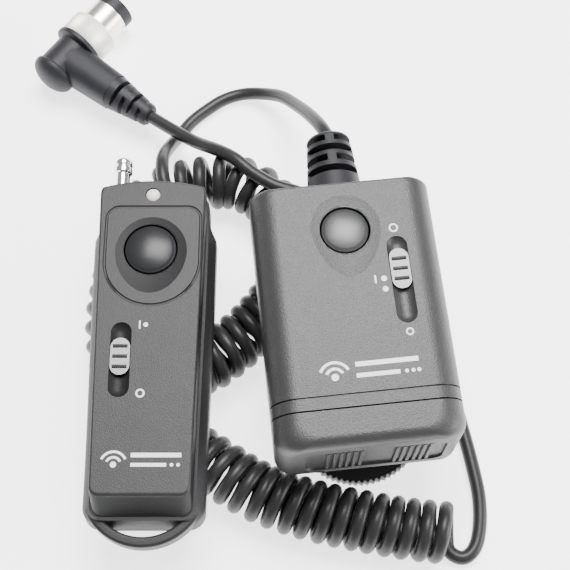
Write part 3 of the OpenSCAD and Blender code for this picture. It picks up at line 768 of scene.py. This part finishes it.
b = build("tx_button_dome", *dome(13.4, 16.6, 1.35, 14.4), "dome_tx",
          TX @ Matrix.Translation((0, 28.3, 0)), "transmitter_button")
soften(b, angle=50)
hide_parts("tx_button")
led = build("tx_lens", *lathe([(11, 0.01), (11, 1.9)] + [
    (16.3 + 1.2 * math.sin(math.pi / 2 * k / 8), 1.9 * math.cos(math.pi / 2 * k / 8) + 0.005)
    for k in range(9)], 40), "lens", TX @ Matrix.Translation((0, 44, 0)), "transmitter")
soften(led)
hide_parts("tx_led")
knob("tx_slider", 3.02, 1.96, 2.4, TX @ Matrix.Translation((-6.4, -1.3, 17)), "power_knob",
     "tx_power_knob")
tip = build("tx_aerial_tip", *lathe(arc_profile([
    (50.5, 0.01, 0), (50.5, 1.95, 0.2), (55.7, 1.95, 0.2), (56, 2.55, 0.2), (57.5, 2.55, 0.2),
    (57.7, 2.1, 0.1), (58.1, 2.1, 0.1), (58.3, 2.55, 0.2), (59.5, 2.55, 0.4), (60.1, 1.9, 0.2),
    (60.1, 0.01, 0)]),
    40), "bright", TX @ Matrix.Translation((-10, 0, 5.8)) @ ALONG_Y, "antenna_inner")
soften(tip, angle=50)
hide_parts("tx_antenna_tip")
decal("tx_marks", [
    bar(-2.0, 6.1, -1.6, 8.3), dot(-0.3, 7.2, 0.6), ring(-0.9, -10.9, 1.15, 0.45)],
    TX, 17.04, "transmitter")
decal("tx_graphic", [
    dot(-6.6, -28.9, 0.75), fan(-6.6, -28.9, 2.1, 0.6, 25, 155),
    fan(-6.6, -28.9, 3.5, 0.6, 25, 155),
    bar(-2.4, -27.1, 9.9, -26.0), bar(-2.4, -29.4, 6.3, -28.5), dot(7.6, -28.95, 0.45),
    dot(9.2, -28.95, 0.45)], TX, 17.04, "transmitter")

# ---------------------------------------------------------------- plug
barrel = tool(lathe(arc_profile([
    (-6.5, 0.01, 0), (-6.5, 6.1, 0.2), (3.0, 6.1, 0.3), (3.6, 7.9, 0.3), (5.0, 7.9, 0.3),
    (5.0, 0.01, 0)]), 72), PL @ ALONG_Y)
rings = []
for k in range(13):
    u = k / 12
    w, h = (4.6 if u == 0 else 5.6) - 0.2 * u, 6.0 + (5.4 - 6.0) * u
    w += 0.6 * (1 - u)
    rings.append([(w * math.copysign(abs(math.cos(a)) ** 0.8, math.cos(a)) - 1.2,
                   h * math.copysign(abs(math.sin(a)) ** 0.8, math.sin(a)), 19 * u)
                  for a in [2 * math.pi * j / 48 for j in range(48)]])
neck = moved(loft([[(z, x, y) for x, y, z in r] for r in rings]), Matrix())
solve(barrel, tool(neck, PL), "UNION")
barrel.name = "plug_body"
barrel.data.materials.clear()
barrel.data.materials.append(M["rubber"])
soften(barrel, 0.25)
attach(barrel, "receiver")
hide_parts("plug_boot")
pc = build("plug_end", *lathe([(-11.25 + 3.9 * (1 - math.cos(math.pi / 2 * k / 16)),
                                0.01 + 6.74 * math.sin(math.pi / 2 * k / 16)) for k in range(17)]
                              + [(-6.9, 6.75), (-6.6, 6.6), (-6.5, 6.3), (-6.5, 0.01)], 72),
           "rubber", PL @ ALONG_Y, "receiver")
soften(pc, angle=50)
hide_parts("plug_cap")
pr = strain("plug_strain", [(18.5, 0.01), (18.5, 5.5), (19, 5.45), (32.4, 3.4), (33, 2.9),
                            (33, 0.01)],
            [(21.8, 1.3, "web"), (24.7, 1.3, "full"), (27.6, 1.3, "web"), (30.4, 1.3, "full")],
            PL @ Matrix.Translation((0, -1.2, 0)) @ ALONG_X, "rubber", "receiver", 2.3, 7)
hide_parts("plug_relief")
rg = build("plug_knurl", *knurl(7.6, 0.25, 70, 5.1, 12.3, 0.35, 6.15), "ring", PL @ ALONG_Y,
           "plug_ring")
soften(rg, angle=40)
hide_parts("plug_lock_ring")

# ---------------------------------------------------------------- painted shade on walls and hollows
def paint_shade_faces(ob, at, name, test):
    """Paint shade: give the faces that pass the test a darker, duller material, in the housing's
    frame.
    """
    ob.data.materials.append(M[name])
    slot = len(ob.data.materials) - 1
    to = (Matrix.Scale(1 / MM, 4) @ ob.matrix_world)
    inv = at.inverted() @ to
    rot = inv.to_3x3().normalized()
    for poly in ob.data.polygons:
        c, n = inv @ poly.center, (rot @ poly.normal).normalized()
        if test(c, n):
            poly.material_index = slot


# painted shade: the face's side walls get a darker, duller material where less light falls
paint_shade_faces(face, TX, "side", lambda c, n: n.z < 0.5)
# painted shade in the button dish
paint_shade_faces(face, TX, "hollow_shade", lambda c, n: c.z < 16.97 and c.z > 12 and n.z > 0.4 and
        abs(c.x) < 11 and 16 < c.y < 38)
# painted shade in the slider scoop
paint_shade_faces(face, TX, "hollow_shade", lambda c, n: 14 < c.z < 16.95 and abs(c.x + 6.4) < 3.4 and
        -12.8 < c.y < 8.8)

# ---------------------------------------------------------------- carried-over nodes
for node, mat in {
    "rx_cap_spring": "plated", "rx_mode_switch": "plated", "rx_pcb": "board",
    "rx_tact_switch": "control", "rx_battery": "cell", "rx_contact": "plated",
    "rx_shoe_foot": "foot", "rx_screws": "screw", "tx_battery_door": "handset",
    "tx_power_switch": "plated", "tx_pcb": "board", "tx_tact_switch": "control",
    "tx_battery": "cell", "tx_contact_plus": "plated", "tx_contact_spring": "plated",
    "tx_antenna_sleeve": "plated", "tx_antenna_mid": "bright", "tx_antenna_inner": "bright",
    "tx_screws": "screw", "plug_shell": "plated", "plug_insulator": "rubber",
    "plug_pins": "pin",
}.items():
    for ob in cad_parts[node] if isinstance(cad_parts[node], list) else [
            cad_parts[node]]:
        for s in ob.material_slots:
            s.link = "OBJECT"
            s.material = M[mat]

# ---------------------------------------------------------------- studio
floor_mat = bpy.data.materials.new("paper")
floor_mat.use_nodes = True
fb = floor_mat.node_tree.nodes["Principled BSDF"]
fb.inputs["Base Color"].default_value = (0.92, 0.92, 0.93, 1)
fb.inputs["Roughness"].default_value = 0.8
fb.inputs["Specular IOR Level"].default_value = 0.1
fb.inputs["Emission Color"].default_value = (1, 1, 1, 1)
fb.inputs["Emission Strength"].default_value = 2.4
FLOOR = 900
floor = build("floor", [(-FLOOR, -FLOOR, 0), (FLOOR, -FLOOR, 0), (FLOOR, FLOOR, 0),
                        (-FLOOR, FLOOR, 0)],
              [(0, 1, 2, 3)], "ink")
floor.data.materials.clear()
floor.data.materials.append(floor_mat)

world = bpy.data.worlds.new("studio")
bpy.context.scene.world = world
world.use_nodes = True
world.node_tree.nodes["Background"].inputs["Color"].default_value = (1, 1, 1, 1)
world.node_tree.nodes["Background"].inputs["Strength"].default_value = 0.4


def area(name, loc, target, size, power, size_y=None):
    d = bpy.data.lights.new(name, "AREA")
    d.energy = power
    d.shape = "RECTANGLE"
    d.size = size
    d.size_y = size_y or size
    o = bpy.data.objects.new(name, d)
    bpy.context.collection.objects.link(o)
    o.location = loc
    o.rotation_euler = (Vector(target) - Vector(loc)).to_track_quat("-Z", "Y").to_euler()
    return o


area("key", (0.06, 0.34, 0.84), (0.0, 0.0, 0.02), 0.55, 21.0, 0.5)
area("right", (0.6, -0.1, 0.22), (0.02, 0.0, 0.02), 0.35, 4.0, 0.25)
